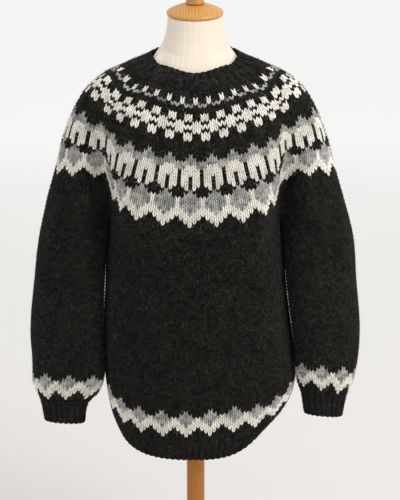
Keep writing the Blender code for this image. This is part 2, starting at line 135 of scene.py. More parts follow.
class Shader:
    """A material with its Principled shader. node adds any other node, and finish sets the
    Principled shader's sockets and gives the material back."""

    def __init__(self, name):
        self.material = bpy.data.materials.new(name)
        self.material.use_nodes = True
        self.tree = self.material.node_tree
        self.principled = self.tree.nodes["Principled BSDF"]

    def put(self, socket, value):
        if isinstance(value, Term):
            self.tree.links.new(value.socket, socket)
        elif hasattr(socket.default_value, "__len__") and len(socket.default_value) == 4:
            socket.default_value = (*value[:3], 1.0)
        else:
            socket.default_value = value

    def node(self, kind, settings=(), values=(), out=0):
        made = self.tree.nodes.new(kind)
        for key, value in dict(settings).items():
            setattr(made, key, value)
        named = values.items() if isinstance(values, dict) else enumerate(values)
        for key, value in named:
            self.put(made.inputs[key], value)
        return Term(self, made.outputs[out])

    def term(self, number):
        return self.node("ShaderNodeMath", {"operation": "ADD"}, [number, 0.0])

    def places(self):
        return self.node("ShaderNodeTexCoord", out="Object")

    def noise(self, vector, scale, detail=2.0, roughness=0.5):
        values = {"Vector": vector, "Scale": scale, "Detail": detail, "Roughness": roughness}
        return self.node("ShaderNodeTexNoise", values=values)

    def mixed(self, share, first, second):
        made = self.node("ShaderNodeMix", {"data_type": "RGBA"}, out=2)
        inputs = made.socket.node.inputs
        for key, value in ((0, share), (6, first), (7, second)):
            self.put(inputs[key], value)
        return made

    def split(self, vector, kind="ShaderNodeSeparateXYZ"):
        outputs = self.node(kind, values=[vector]).socket.node.outputs
        return [Term(self, socket) for socket in outputs]

    def stretched(self, vector, scale, turn=(0.0, 0.0, 0.0)):
        values = {"Vector": vector, "Scale": scale, "Rotation": turn}
        return self.node("ShaderNodeMapping", values=values)

    def bumped(self, height, distance, strength=1.0):
        values = {"Height": height, "Distance": distance, "Strength": strength}
        return self.node("ShaderNodeBump", values=values)

    def finish(self, **sockets):
        for key, value in sockets.items():
            self.put(self.principled.inputs[key.replace("_", " ").title()], value)
        return self.material


# %% [markdown]
# ### The floor
#
# One wide plane is enough. It is lit from all round and nearly white, like the photo's ground.

# %% Make the floor, with painted shade that makes it a little darker and warmer near the form
NEAR_FLOOR, FAR_FLOOR = 0.3, 7.0
FLOOR_SIZE = 400.0


def to_mesh(name, bm):
    mesh = bpy.data.meshes.new(name)
    bm.to_mesh(mesh)
    bm.free()
    return mesh


def make_floor():
    shader = Shader("pale_floor")
    place = shader.places()
    _, behind, _ = shader.split(place)
    mottle = shader.noise(place, 1.5)
    # Painted shade: the floor's colour runs from darker and warmer near the form to pale far back.
    far = ((behind - NEAR_FLOOR) / (FAR_FLOOR - NEAR_FLOOR) + mottle * 0.1).kept_to_one()
    shade = shader.mixed(far, (0.70, 0.68, 0.655), (0.94, 0.94, 0.94))
    bm = bmesh.new()
    bmesh.ops.create_grid(bm, x_segments=1, y_segments=1, size=FLOOR_SIZE)
    mesh = to_mesh("floor", bm)
    mesh.materials.append(shader.finish(base_color=shade, roughness=0.9))
    floor = linked("floor", mesh)
    print(f"floor {FLOOR_SIZE:.0f} m to each side")


make_floor()

# %% [markdown]
# ## The pullover's own sizes
#
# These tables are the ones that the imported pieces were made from, so each knitted piece lies on
# its node. up is the share of the way from a piece's lower edge to its top. The yoke's table has
# the deep fold beside each sleeve, where the spare cloth of the armhole hangs. In the sleeves'
# tables, swing carries the edge beside the body forward.

# %% The yoke, from the join with body and sleeves up to the neck edge
YOKE_NAMES = (
    "up", "half_width", "front", "back",
    "z_front", "z_fold", "z_side", "z_rear_fold", "z_back", "fold_x", "fold_depth", "sleeve_depth",
)
YOKE = (
    (0.00, 0.264, 0.142, 0.122, 0.889, 0.912, 0.952, 0.912, 0.915, 0.152, 0.074, 0.86),
    (0.17, 0.248, 0.145, 0.127, 0.938, 0.962, 1.003, 0.963, 0.967, 0.156, 0.064, 0.88),
    (0.34, 0.233, 0.145, 0.129, 0.986, 1.013, 1.056, 1.015, 1.018, 0.163, 0.040, 0.93),
    (0.47, 0.215, 0.142, 0.127, 1.023, 1.052, 1.096, 1.056, 1.057, 0.160, 0.017, 0.98),
    (0.60, 0.193, 0.135, 0.121, 1.060, 1.090, 1.132, 1.097, 1.096, 0.146, 0.004, 1.00),
    (0.73, 0.162, 0.125, 0.108, 1.097, 1.124, 1.158, 1.134, 1.135, 0.120, 0.000, 1.00),
    (0.86, 0.122, 0.111, 0.087, 1.135, 1.153, 1.176, 1.170, 1.177, 0.088, 0.000, 1.00),
    (1.00, 0.078, 0.087, 0.054, 1.165, 1.177, 1.193, 1.202, 1.207, 0.056, 0.000, 1.00),
)
YOKE_ROUNDNESS = 2.2
FOLD_WIDTH = 0.017
FOLD_TO_SLEEVE = 0.035
SIDE_RISE_SHARE = 0.27

# %% The body, from the hem's edge up
BODY = (
    # up, left, right, front, back, z_front, z_left, z_right, z_back, corner_lift
    (0.00, 0.147, 0.151, 0.134, 0.110, 0.475, 0.504, 0.532, 0.502, 0.026),
    (0.10, 0.162, 0.180, 0.146, 0.123, 0.514, 0.546, 0.566, 0.543, 0.018),
    (0.22, 0.170, 0.190, 0.152, 0.131, 0.566, 0.597, 0.606, 0.595, 0.007),
    (0.40, 0.172, 0.182, 0.152, 0.129, 0.645, 0.671, 0.674, 0.669, 0.000),
    (0.60, 0.168, 0.170, 0.148, 0.123, 0.730, 0.754, 0.755, 0.751, 0.000),
    (0.82, 0.160, 0.160, 0.143, 0.120, 0.822, 0.845, 0.845, 0.840, 0.000),
)
HEM_CORNER = (0.138, -0.085)
HEM_CORNER_REACH = 0.045
BODY_ROUNDNESS = 2.35

# %% The sleeves, from the cuff's edge up
LEFT_SLEEVE = (
    # up, x, y, z, half_width, half_depth, forward, roll, swing
    (0.00, -0.2488, -0.035, 0.507, 0.0380, 0.0250, 12.0, 0.0, 0.15),
    (0.10, -0.2482, -0.034, 0.548, 0.0460, 0.0310, 12.0, 0.0, 0.20),
    (0.16, -0.2450, -0.032, 0.574, 0.0640, 0.0420, 11.0, 0.0, 0.35),
    (0.25, -0.2395, -0.030, 0.612, 0.0715, 0.0480, 10.0, 0.0, 0.45),
    (0.42, -0.2405, -0.024, 0.682, 0.0720, 0.0520, 8.0, 0.0, 0.45),
    (0.64, -0.2332, -0.016, 0.780, 0.0675, 0.0590, 5.0, 0.0, 0.42),
    (0.85, -0.2235, -0.009, 0.868, 0.0630, 0.0680, 2.0, 0.0, 0.32),
)
RIGHT_SLEEVE = (
    (0.00, 0.2424, -0.035, 0.521, 0.0360, 0.0250, 12.0, -8.0, 0.15),
    (0.10, 0.2422, -0.034, 0.560, 0.0432, 0.0300, 12.0, -9.0, 0.20),
    (0.17, 0.2443, -0.032, 0.588, 0.0547, 0.0410, 11.0, -8.0, 0.35),
    (0.26, 0.2460, -0.029, 0.624, 0.0615, 0.0470, 10.0, -6.0, 0.45),
    (0.40, 0.2447, -0.024, 0.682, 0.0653, 0.0520, 8.0, -3.0, 0.45),
    (0.62, 0.2335, -0.016, 0.776, 0.0663, 0.0590, 5.0, 0.0, 0.42),
    (0.84, 0.2250, -0.009, 0.868, 0.0645, 0.0680, 2.0, 0.0, 0.32),
)
SLEEVE_ROUNDNESS = 2.2

# %% How the cloth leads into the join, and its thickness, gaps and ribs
LEAD = 0.10
LEAD_LENGTH = 0.042
WALL = 0.004
SEAM_GAP = 0.0003
GRAFT_GAP = 0.0005
RIB_RISE = 0.0016

# %% [markdown]
# ## Rings round the cloth
#
# Every knitted tube is a stack of rings. A ring is drawn with far more points than it has
# stitches, and then read at any share of the way round, so that stitches can be as wide as the
# yarn wants and still lie on the same form.

# %% Curves through tables, and points along a line
FINE = 10
FRONT_POINTS, SLEEVE_POINTS, BACK_POINTS, UNDERARM_POINTS = 24 * FINE, 20 * FINE, 24 * FINE, 6 * FINE
BODY_POINTS = FRONT_POINTS + BACK_POINTS + 2 * UNDERARM_POINTS
SLEEVE_RING_POINTS = SLEEVE_POINTS + UNDERARM_POINTS


def smooth(knots, values, where):
    """Reads a smooth curve through values, given at knots, at one place."""
    knots, values = np.asarray(knots, float), np.asarray(values, float)
    widths = np.diff(knots).reshape((-1,) + (1,) * (values.ndim - 1))
    rises = np.diff(values, axis=0) / widths
    tangents = np.concatenate([rises[:1], (rises[1:] + rises[:-1]) / 2, rises[-1:]])
    i = int(np.clip(np.searchsorted(knots, where, side="right") - 1, 0, len(knots) - 2))
    t = (where - knots[i]) / (knots[i + 1] - knots[i])
    return (
        (2 * t**3 - 3 * t**2 + 1) * values[i]
        + (t**3 - 2 * t**2 + t) * widths[i] * tangents[i]
        + (3 * t**2 - 2 * t**3) * values[i + 1]
        + (t**3 - t**2) * widths[i] * tangents[i + 1]
    )


def ease(t):
    t = np.clip(t, 0.0, 1.0)
    return t * t * (3 - 2 * t)


def unit(vectors):
    return vectors / np.linalg.norm(vectors, axis=-1, keepdims=True)


def along(line, where):
    """The points at these shares of a line's length in plan."""
    steps = np.linalg.norm(np.diff(line[:, :2], axis=0), axis=1)
    lengths = np.concatenate([[0.0], np.cumsum(steps)])
    return np.stack([np.interp(where, lengths / lengths[-1], line[:, k]) for k in range(3)], axis=1)


def closed(ring):
    return np.concatenate([ring, ring[:1]])


def at_shares(ring, shares):
    """A closed ring read at shares of the way round, counted in its own points."""
    whole = np.linspace(0, 1, len(ring) + 1)
    line = closed(ring)
    return np.stack([np.interp(shares % 1.0, whole, line[:, k]) for k in range(3)], axis=1)


# %% Ovals
OVAL_POINTS = 2881


def oval(turn, right, left, front, back, roundness):
    s, c = np.sin(turn), np.cos(turn)
    x = np.sign(s) * np.abs(s) ** (2 / roundness) * np.where(s > 0, right, left)
    y = -np.sign(c) * np.abs(c) ** (2 / roundness) * np.where(c > 0, front, back)
    return x, y


def oval_ring(left, right, front, back, z_front, z_left, z_right, z_back, roundness):
    x, y = oval(np.linspace(0, 2 * pi, OVAL_POINTS), right, left, front, back, roundness)
    towards_end = ease(np.where(y < 0, -y / front, y / back))
    z_side = np.where(x < 0, z_left, z_right)
    z = z_side + (np.where(y < 0, z_front, z_back) - z_side) * towards_end
    return np.stack([x, y, z], axis=1)


# %% The yoke's rings, with their folds
STRETCH_POINTS = 481
NECK_RISE_SHARE, NECK_RISE_FROM, NECK_RISE_REACH = 0.38, 0.80, 0.20


def yoke_value(name, up):
    k = YOKE_NAMES.index(name)
    return float(smooth([row[0] for row in YOKE], [row[k] for row in YOKE], up))


def even_shares(count):
    return np.linspace(0, 1, count + 1)


def closer_at_ends(count):
    return 0.5 * even_shares(count) + 0.25 * (1 - np.cos(pi * even_shares(count)))


def side_rise_share(up):
    """How soon a ring climbs from the fold to the shoulder. At the neck edge it climbs more slowly."""
    near_neck = ease((up - NECK_RISE_FROM) / NECK_RISE_REACH)
    return SIDE_RISE_SHARE + (NECK_RISE_SHARE - SIDE_RISE_SHARE) * near_neck


def yoke_ring(up, spacing=closer_at_ends):
    """From the right front fold over the sleeve, across the back, over the left sleeve to the front."""
    width, front, back, fold_x, depth = (
        yoke_value(name, up) for name in ("half_width", "front", "back", "fold_x", "fold_depth")
    )
    z_front, z_fold, z_side, z_rear, z_back = (
        yoke_value(name, up) for name in ("z_front", "z_fold", "z_side", "z_rear_fold", "z_back")
    )
    over_sleeve = side_rise_share(up)
    fold_turn = np.arcsin((fold_x / width) ** (YOKE_ROUNDNESS / 2))
    stretches = (
        (fold_turn, pi - fold_turn, SLEEVE_POINTS, z_fold, z_side, z_rear, over_sleeve),
        (pi - fold_turn, pi + fold_turn, BACK_POINTS, z_rear, z_back, z_rear, 0.5),
        (pi + fold_turn, 2 * pi - fold_turn, SLEEVE_POINTS, z_rear, z_side, z_fold, over_sleeve),
        (2 * pi - fold_turn, 2 * pi + fold_turn, FRONT_POINTS, z_fold, z_front, z_fold, 0.5),
    )
    lines = []
    for start, end, points, z_start, z_middle, z_end, rise_share in stretches:
        x, y = oval(np.linspace(start, end, STRETCH_POINTS), width, width, front, back, YOKE_ROUNDNESS)
        beyond_fold = np.abs(x) - fold_x
        y = y * (1 - (1 - yoke_value("sleeve_depth", up)) * ease(beyond_fold / FOLD_TO_SLEEVE))
        y = y - np.sign(y) * depth * np.exp(-((beyond_fold / FOLD_WIDTH) ** 2) / 2)
        where = spacing(points)[:-1]
        line = along(np.stack([x, y, np.zeros_like(x)], axis=1), where)
        rise, fall = ease(where / rise_share), ease((1 - where) / rise_share)
        line[:, 2] = z_start + (z_middle - z_start) * rise + (z_end - z_middle) * (1 - fall)
        lines.append(line)
    return np.concatenate(lines)


def yoke_from_front(up):
    """The yoke's ring from the front middle, in even steps of its own length."""
    ring = np.roll(yoke_ring(up, even_shares), FRONT_POINTS // 2, axis=0)
    return along(closed(ring), np.arange(len(ring)) / len(ring))


# %% [markdown]
# ### Where body and sleeves meet the yoke
#
# The yoke's lowest ring is shared out: its front and back go on into the body, and the stretches
# between the folds go on into the sleeves. Under each arm a short grafted row joins fold to fold.

# %% The join
JOIN = yoke_ring(0.0)
JOIN_UP = unit(yoke_ring(0.01) - JOIN)
RIGHT_FRONT = 0
RIGHT_BACK = SLEEVE_POINTS
LEFT_BACK = RIGHT_BACK + BACK_POINTS
LEFT_FRONT = LEFT_BACK + SLEEVE_POINTS


def join_stretch(start, end):
    picked = np.arange(start, end + 1)
    return JOIN[picked] - SEAM_GAP * JOIN_UP[picked], JOIN_UP[picked]


def graft(start, end, towards):
    share = even_shares(UNDERARM_POINTS)[1:-1, None]
    line = JOIN[start] * (1 - share) + JOIN[end] * share
    return line, np.tile([[float(towards), 0.0, 0.0]], (len(line), 1))


def body_join():
    stretches = (
        join_stretch(RIGHT_FRONT, RIGHT_FRONT),
        graft(RIGHT_FRONT, RIGHT_BACK, 1),
        join_stretch(RIGHT_BACK, LEFT_BACK),
        graft(LEFT_BACK, LEFT_FRONT, -1),
        join_stretch(LEFT_FRONT, len(JOIN) - 1),
    )
    points, up = (np.concatenate(kind) for kind in zip(*stretches))
    narrowed = 1 - GRAFT_GAP / 2 / yoke_value("fold_x", 0.0)
    return points * np.array([narrowed, 1.0, 1.0]), up


def sleeve_join(side):
    start, end = (RIGHT_FRONT, RIGHT_BACK) if side > 0 else (LEFT_BACK, LEFT_FRONT)
    stretches = (join_stretch(start, end), graft(end, start, -side))
    points, up = (np.concatenate(kind) for kind in zip(*stretches))
    return points + np.array([side * GRAFT_GAP / 2, 0.0, 0.0]), up


# %% The body's and the sleeves' rings
def body_section(row):
    ring = oval_ring(*row[1:-1], BODY_ROUNDNESS)
    from_corner = np.linalg.norm(ring[:, :2] - HEM_CORNER, axis=1)
    ring[:, 2] += row[-1] * np.exp(-((from_corner / HEM_CORNER_REACH) ** 2) / 2)
    fold = FRONT_POINTS / 2 / BODY_POINTS
    return along(ring, (np.arange(BODY_POINTS) / BODY_POINTS + fold) % 1.0)


def sleeve_section(row, side):
    _, x, y, z, half_width, half_depth, forward, roll, swing = row
    flat = (0.0, 0.0, 0.0, 0.0)
    ring = oval_ring(half_width, half_width, half_depth, half_depth, *flat, SLEEVE_ROUNDNESS)
    fold = (0.75 if side > 0 else 0.25) + UNDERARM_POINTS / 2 / SLEEVE_RING_POINTS
    ring = along(ring, (np.arange(SLEEVE_RING_POINTS) / SLEEVE_RING_POINTS + fold) % 1.0)
    ring[:, 2] = ring[:, 0] * tan(radians(roll)) - ring[:, 1] * tan(radians(forward))
    ring[:, 1] += side * swing * ring[:, 0]
    return ring + np.array([x, y, z])


def tube(rows, sections, join):
    """A function that gives the ring at any up."""
    knots = [row[0] for row in rows] + [1.0, 1.0 + LEAD]
    rings = sections + [join[0], join[0] + join[1] * LEAD_LENGTH]
    return lambda up: smooth(knots, rings, up)


body_at = tube(BODY, [body_section(row) for row in BODY], body_join())
left_sleeve_at = tube(LEFT_SLEEVE, [sleeve_section(row, -1) for row in LEFT_SLEEVE], sleeve_join(-1))
right_sleeve_at = tube(RIGHT_SLEEVE, [sleeve_section(row, 1) for row in RIGHT_SLEEVE], sleeve_join(1))
print(f"body join {len(body_join()[0])} points")

# %% [markdown]
# ## Charts
#
# A knitter works colour from a chart: one square a stitch, read from the bottom row up. These are
# the traditional bands of such a pullover, counted stitch by stitch and charted. A band
# repeats all the way round, so a row of the chart is one repeat. The middle of the diamonds'
# repeat is its fourth stitch. W is natural white, G light grey and D charcoal.

# %% The bands, each row from the bottom up
DIAMONDS = (
    "DDDWDD", "DDWWWD", "DWWWWW", "WWWGWW", "WWGGGW", "WGGGGG", "WGGGGG", "WGGGGG", "DDGGGD", "DDDGDD",
)
ARCHES = (
    "DDWDWD", "DWWDWW", "DWWDWW", "DWWDWW", "DWWWWW", "DWWWWW", "GGWWWG", "GGGGGG", "DDGGGD", "DDDGDD",
)
CHECKS = ("WWDD", "WWDD", "DDWW", "WWWW", "DDWW", "WWDD", "WWDD")
SPECKS = ("DGG", "WDD", "WDD")
LOW_DIAMONDS = ("DDDWDD", "DDWWWD", "DWWWWW", "WWWGWW", "WWGGGW", "WGGGGG", "DDGGGD", "DDDGDD")
YARNS = {"W": (1.0, 0.0), "G": (0.0, 1.0), "D": (0.0, 0.0)}


def charted(placed, row, column):
    """The yarn of a stitch. placed lists the bands of a piece as first row, first column and chart."""
    for first_row, first_column, chart in placed:
        if first_row <= row < first_row + len(chart):
            line = chart[row - first_row]
            return line[(column - first_column) % len(line)]
    return "D"


# %% [markdown]
# ## One knitted stitch
#
# Stocking stitch shows a column of Vs. Each leg of a V is a lens of yarn that leans outwards as it
# rises. On a grid with four columns and two rows to a stitch, a leg is a raised column between two
# grooves, and letting every row of points climb from the stitch's middle to its edges gives the
# lean. The flat grid is the chart: each face takes its yarn from the stitch it lies in, and only
# then is the grid wrapped round the rings.

# %% Heights and lean inside a stitch
COLUMNS_A_STITCH = 4
LEVELS_A_ROW = 2
LEG_LEAN = 0.85
GROOVE_LOW, GROOVE_HIGH, LEG_LOW, LEG_HIGH = -0.0018, -0.0012, -0.0004, 0.0009
EDGE_TUCK = -0.0005
RIB_TOP = 0.10
RIB_DEPTH, NECK_RIB_DEPTH = 0.0030, 0.0018
UNEVEN = 0.00018
UNEVEN_STITCH = 0.035
HAND = np.random.RandomState(7)


def stocking_height(columns, levels):
    on_leg = np.isclose(columns % 0.5, 0.25)
    low = levels % LEVELS_A_ROW == 0
    return np.where(on_leg, np.where(low, LEG_LOW, LEG_HIGH), np.where(low, GROOVE_LOW, GROOVE_HIGH))


def rib_height(columns, levels, deep=RIB_DEPTH):
    """Knit one, purl one: the knit column stands up and the purl column sinks between."""
    knit = columns % 2.0 <= 1.0
    middle = np.isclose(columns % 2.0, 1.5)
    low = levels % LEVELS_A_ROW == 0
    sunk = np.where(middle & low, -deep, -0.6 * deep)
    return np.where(knit, 0.6 * RIB_RISE + 0.7 * stocking_height(columns, levels), sunk)


def neck_rib_height(columns, levels):
    """Shallower ribs, as the neckband lies close round the form."""
    return rib_height(columns, levels, NECK_RIB_DEPTH)


# %% [markdown]
# ## Wrapping a chart round its rings
#
# A knitted piece is a closed shell: rows of stitches up the outside, a few plain rows down the
# inside, and a turn at each edge. Its rings are first read into a fine table, so that a row of
# stitches can climb, drift or lean from column to column. Soft creases are listed one by one.

# %% Creases of the cloth, by share of the way round and up
BODY_CREASES = (
    # round, up, reach_round, reach_up, slant, depth
    (0.050, 0.86, 0.028, 0.085, 0.00, 0.0034),
    (0.550, 0.86, 0.028, 0.085, 0.00, 0.0034),
    (0.050, 0.95, 0.030, 0.045, 0.00, 0.0045),
    (0.550, 0.95, 0.030, 0.045, 0.00, 0.0030),
    (0.685, 0.80, 0.010, 0.14, 0.06, -0.0018),
    (0.915, 0.80, 0.010, 0.14, -0.06, -0.0018),
    (0.720, 0.52, 0.012, 0.18, 0.03, 0.0012),
    (0.770, 0.36, 0.014, 0.20, -0.02, -0.0012),
    (0.850, 0.50, 0.014, 0.22, 0.03, -0.0012),
    (0.895, 0.34, 0.012, 0.16, -0.04, 0.0012),
    (0.160, 0.60, 0.012, 0.22, 0.04, -0.0014),
    (0.260, 0.50, 0.015, 0.25, -0.03, 0.0012),
    (0.350, 0.62, 0.014, 0.20, 0.03, -0.0014),
    (0.440, 0.50, 0.012, 0.22, -0.04, -0.0012),
)
SLEEVE_CREASES = (
    (0.885, 0.86, 0.060, 0.085, 0.00, 0.0036),
    (0.885, 0.95, 0.060, 0.045, 0.00, 0.0040),
    (0.60, 0.30, 0.090, 0.018, 0.10, -0.0018),
    (0.66, 0.36, 0.070, 0.020, -0.12, 0.0014),
    (0.55, 0.43, 0.070, 0.022, 0.12, -0.0016),
    (0.10, 0.30, 0.090, 0.018, -0.10, -0.0018),
    (0.18, 0.38, 0.080, 0.020, 0.12, -0.0014),
    (0.62, 0.80, 0.020, 0.120, 0.05, -0.0016),
    (0.12, 0.80, 0.020, 0.120, -0.05, -0.0016),
    (0.35, 0.55, 0.020, 0.180, 0.05, 0.0012),
)
YOKE_CREASES = (
    (0.105, 0.20, 0.008, 0.14, -0.04, -0.0018),
    (0.895, 0.20, 0.008, 0.14, 0.04, -0.0018),
    (0.190, 0.18, 0.008, 0.12, 0.02, -0.0014),
    (0.810, 0.18, 0.008, 0.12, -0.02, -0.0014),
    (0.420, 0.20, 0.010, 0.16, 0.03, -0.0016),
    (0.580, 0.20, 0.010, 0.16, -0.03, -0.0016),
)


def creased(creases, rounds, ups):
    """The height that a table of creases adds at each place."""
    total = np.zeros_like(ups)
    for centre, middle, reach_round, reach_up, slant, depth in creases:
        climb = ups - middle
        aside = (rounds - centre - slant * climb + 0.5) % 1.0 - 0.5
        total = total + depth * np.exp(-((aside / reach_round) ** 2 + (climb / reach_up) ** 2) / 2)
    return total


# %% How the bands of colour drift from level
SLEEVE_REACH, SLEEVE_FADE = 0.128, 0.030
BESIDE_FROM, BESIDE_FADE = 0.045, 0.050
DRIFT_UPS = (0.00, 0.07, 0.295, 0.503, 0.582, 0.70)
BESIDE_FOLD = (0.00, 0.12, 0.110, 0.075, 0.035, 0.0)
OVER_SLEEVE = (0.00, 0.030, 0.000, -0.020, -0.005, 0.0)
HEM_LIFT, HEM_LIFT_ROUND, HEM_LIFT_REACH = 0.016, 0.862, 0.030
CUFF_ASKEW, CUFF_HIGH_ROUND = 0.020, 0.885
HEM_BAND_TOP, CUFF_BAND_TOP, BAND_FADE = 0.24, 0.27, 0.3


def no_drift(rounds, ups):
    return np.zeros_like(ups)


def yoke_drift(rounds, ups):
    """Over the sleeves the bands ride higher beside the folds, where the spare cloth is drawn up."""
    aside = np.abs((rounds % 0.5) - 0.25)
    on_sleeve = ease((SLEEVE_REACH - aside) / SLEEVE_FADE)
    beside_fold = ease((aside - BESIDE_FROM) / BESIDE_FADE)
    return on_sleeve * (
        np.interp(ups, DRIFT_UPS, BESIDE_FOLD) * beside_fold + np.interp(ups, DRIFT_UPS, OVER_SLEEVE)
    )


def within_band(drift, ups, fade_in, top):
    """A drift that starts at the rib and dies away above the band of colour."""
    return drift * ease((ups - RIB_TOP) / fade_in) * (1 - ease((ups - top) / BAND_FADE))


def hem_drift(rounds, ups):
    """Right of the front's middle the hem's band is drawn up a little."""
    aside = (rounds - HEM_LIFT_ROUND) / HEM_LIFT_REACH
    return within_band(HEM_LIFT * np.exp(-(aside**2) / 2), ups, 0.02, HEM_BAND_TOP)


def sleeve_drift(rounds, ups):
    """The cuff's band lies askew: higher beside the body, lower on the outside."""
    askew = CUFF_ASKEW * np.cos(2 * pi * (rounds - CUFF_HIGH_ROUND))
    return within_band(askew, ups, 0.04, CUFF_BAND_TOP)


# %% Points of a band
def ring_table(ring_at, rounds, ups):
    """The cloth's points at these shares of each ring, and the directions out of it."""
    points = np.array([at_shares(ring_at(up), rounds) for up in ups])
    around = np.roll(points, -1, axis=1) - np.roll(points, 1, axis=1)
    out = np.cross(around, np.gradient(points, axis=0))
    return points, unit(out)


def read_table(table, ups, where):
    """A table read at one up for each of its columns."""
    place = np.clip((where - ups[0]) / (ups[1] - ups[0]), 0, len(ups) - 1.000001)
    low, column = place.astype(int), np.arange(table.shape[1])
    t = (place - low)[:, None]
    return table[low, column] * (1 - t) + table[low + 1, column] * t


TABLE_ROWS = 150
DRIFT_ROOM = 0.06
LEAN_IN, LEAN_OUT, CREASE_FADE = 0.5, 0.3, 4


def lattice(
    ring_at, stitches, row_ups, height, turn=0.0, creases=(), drift=no_drift, notch=(0.0, 0.0)
):
    """Points of a band of stitches, level by level, and the directions out of it. row_ups gives up
    at each row's lower edge and at the last one's top, and turn shifts the band round, in stitches.
    notch says how far the purl columns draw back from a free lower or upper edge, in rows."""
    columns = np.arange(stitches * COLUMNS_A_STITCH) / COLUMNS_A_STITCH
    rows = len(row_ups) - 1
    levels = rows * LEVELS_A_ROW
    rounds = (columns + turn) / stitches
    lowest, highest = max(0.0, row_ups[0] - DRIFT_ROOM), min(1.0, row_ups[-1] + DRIFT_ROOM)
    ups = np.linspace(lowest, highest, TABLE_ROWS)
    place, outward = ring_table(ring_at, rounds, ups)
    lean = LEG_LEAN * np.abs(2 * (columns % 1.0) - 1)
    drawn_back = {
        0: notch[0] * (row_ups[1] - row_ups[0]) * (columns % 2.0 > 1.0),
        levels: -notch[1] * (row_ups[-1] - row_ups[-2]) * (columns % 2.0 > 1.0),
    }
    points, outs = [], []
    for level in range(levels + 1):
        at_edge = level in (0, levels)
        from_edge = min(level, levels - level)
        carried = lean * min(1.0, level * LEAN_IN, (levels - level) * LEAN_OUT)
        loose = HAND.normal(0, 0 if at_edge else UNEVEN_STITCH, len(columns))
        where = np.interp(level / LEVELS_A_ROW + carried + loose, np.arange(rows + 1), row_ups)
        where = where + drift(rounds, where) + (drawn_back[level] if at_edge else 0)
        ring, out = read_table(place, ups, where), unit(read_table(outward, ups, where))
        rise = height(columns, level) + HAND.uniform(-UNEVEN, UNEVEN, len(columns))
        rise = np.full(len(columns), EDGE_TUCK) if at_edge else rise
        rise = rise + creased(creases, rounds, where) * ease(from_edge / CREASE_FADE)
        points.append(ring + out * rise[:, None])
        outs.append(out)
    return np.array(points), np.array(outs)


def inside(ring_at, stitches, ups, turn=0.0):
    """Rows of points down the inside of the cloth. As ups runs downwards, out points inwards."""
    rounds = (np.arange(stitches * COLUMNS_A_STITCH) / COLUMNS_A_STITCH + turn) / stitches
    points, out = ring_table(ring_at, rounds, ups)
    return points + WALL * out


# %% A grid, dyed by its chart and then wrapped
def add_band(bm, points, stitches, rows, placed, tall, closes=False, ribbed=False):
    """Adds one band to a mesh. tall gives its share of the piece's UV map, from and to. Its lower
    and upper loops of points come back, unless it closes on itself."""
    wide, high = points.shape[1], points.shape[0] - 1
    if closes:
        points = np.concatenate([points, points[:1]])
        high += 1
    made = bmesh.ops.create_grid(bm, x_segments=wide, y_segments=high, size=1.0)["verts"]
    yarn = bm.loops.layers.float_color["yarn"]
    thread = bm.loops.layers.float_vector["thread"]
    cut = bm.loops.layers.uv["cut"]
    shades = HAND.uniform(0, 1, (rows + 1, stitches))
    for face in {face for vert in made for face in vert.link_faces}:
        centre = face.calc_center_median()
        column = (centre.x + 1) / 2 * stitches
        level = (centre.y + 1) / 2 * high
        row_of_middle = level / LEVELS_A_ROW
        knitted = row_of_middle < rows
        row, stitch = int(row_of_middle), int(column)
        white, grey = YARNS[charted(placed, row, stitch)] if knitted else (0.0, 0.0)
        shade = shades[min(row, rows), stitch]
        for loop in face.loops:
            x, y = (loop.vert.co.x + 1) / 2, (loop.vert.co.y + 1) / 2
            # The thread's third value marks the purl columns, which the wool's finish darkens with
            # painted shade.
            purl = ribbed and 0.1 < (x * stitches) % 2.0 - 1.0
            loop[yarn] = (white, grey, shade, 1.0)
            loop[thread] = (x * stitches, y * high / LEVELS_A_ROW, 1.0 if purl else 0.0)
            loop[cut].uv = (x, tall[0] + (tall[1] - tall[0]) * y)

    def level_and_column(vert):
        return round((vert.co.y + 1) * high), round((vert.co.x + 1) * wide)

    order = sorted(made, key=level_and_column)
    for i, vert in enumerate(order):
        level, column = divmod(i, wide + 1)
        vert.co = points[level, column % wide]
    lower, upper = order[:wide], order[-wide - 1:-1]
    rims = set(order[:wide + 1]) | set(order[rows * LEVELS_A_ROW * (wide + 1):][:wide + 1])
    for edge in {edge for vert in rims for edge in vert.link_edges}:
        edge.smooth = not (edge.verts[0] in rims and edge.verts[1] in rims)
    bmesh.ops.remove_doubles(bm, verts=order, dist=0.000001)
    return [v for v in lower if v.is_valid], [v for v in upper if v.is_valid]


def open_edges(verts):
    return list({edge for vert in verts for edge in vert.link_edges if edge.is_boundary})


def new_knit():
    bm = bmesh.new()
    bm.loops.layers.float_color.new("yarn")
    bm.loops.layers.float_vector.new("thread")
    bm.loops.layers.uv.new("cut")
    return bm


knits, surfaces = {}, {}


def to_piece(node, bm, material, surface):
    """Turns a mesh into a finished piece that replaces a node. Its surface lists its bands, each
    with its outer points, the directions out of them, and its charts."""
    name = f"{node}_knit"
    mesh = to_mesh(name, bm)
    mesh.shade_smooth()
    mesh.materials.append(material)
    piece = linked(name, mesh)
    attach(piece, "root")
    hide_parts(node)
    triangles = sum(len(polygon.vertices) - 2 for polygon in mesh.polygons)
    print(f"{name}: {triangles} triangles")
    knits[node], surfaces[node] = piece, surface


# %% [markdown]
# ## The wool
#
# Lightly spun wool is heathered: each strand holds lighter and darker hairs, so no stitch is one
# flat colour. The strand's own direction follows the leg of the stitch, and fine streaks along it
# read as hairs. The charcoal has brown in it and many pale hairs, the white is a little creamy, and
# the grey is white and charcoal wool carded together.

# %% The wool's finish
def yarn_parts(shader):
    """The white, grey and random parts of the yarn colour."""
    yarn = shader.node("ShaderNodeAttribute", {"attribute_name": "yarn"}, out="Color")
    return shader.split(yarn, "ShaderNodeSeparateColor")


def to_groove(term):
    """From 0 in the middle of each whole step to 1 at its ends."""
    return (term.maths("FRACT") * 2.0 - 1.0).size()


